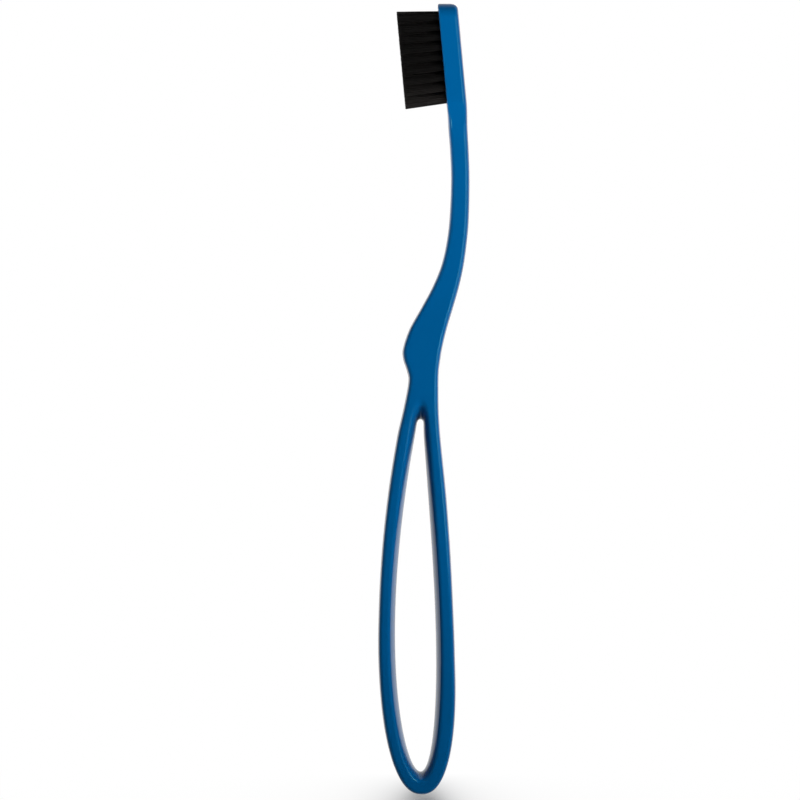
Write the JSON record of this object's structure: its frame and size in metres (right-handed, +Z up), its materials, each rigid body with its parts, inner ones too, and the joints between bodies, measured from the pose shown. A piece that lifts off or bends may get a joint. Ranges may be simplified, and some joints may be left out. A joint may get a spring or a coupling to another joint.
{
  "type": "toothbrush",
  "caption": "Manual toothbrush with a straight head of dark bristle tufts, a slim swept neck, a thumb rest and a long open loop for a handle.",
  "frame": {"origin": "middle of the brush's bounding box, on the surface that the brush lies on", "axes": "+Y from the loop towards the head's end, +X from the bristles towards the back of the head, +Z up from the surface, across the width of the brush"},
  "size_m": [0.022, 0.19, 0.013],
  "materials": {
    "handle": "opaque blue plastic, moulded, with a soft gloss",
    "bristles": "fine black nylon filaments with cut ends",
    "anchors": "small flat pieces of wire, hidden in the head"
  },
  "bodies": {
    "root": {"handle": "handle", "anchors": "anchors", "tuft_1_1": "bristles", "tuft_1_2": "bristles", "tuft_1_3": "bristles", "tuft_2_1": "bristles", "tuft_2_2": "bristles", "tuft_2_3": "bristles", "tuft_2_4": "bristles", "tuft_3_1": "bristles", "tuft_3_2": "bristles", "tuft_3_3": "bristles", "tuft_3_4": "bristles", "tuft_4_1": "bristles", "tuft_4_2": "bristles", "tuft_4_3": "bristles", "tuft_4_4": "bristles", "tuft_5_1": "bristles", "tuft_5_2": "bristles", "tuft_5_3": "bristles", "tuft_5_4": "bristles", "tuft_6_1": "bristles", "tuft_6_2": "bristles", "tuft_6_3": "bristles", "tuft_6_4": "bristles", "tuft_7_1": "bristles", "tuft_7_2": "bristles", "tuft_7_3": "bristles", "tuft_7_4": "bristles", "tuft_8_1": "bristles", "tuft_8_2": "bristles", "tuft_8_3": "bristles", "tuft_8_4": "bristles", "tuft_9_1": "bristles", "tuft_9_2": "bristles", "tuft_9_3": "bristles"}
  },
  "joints": []
}
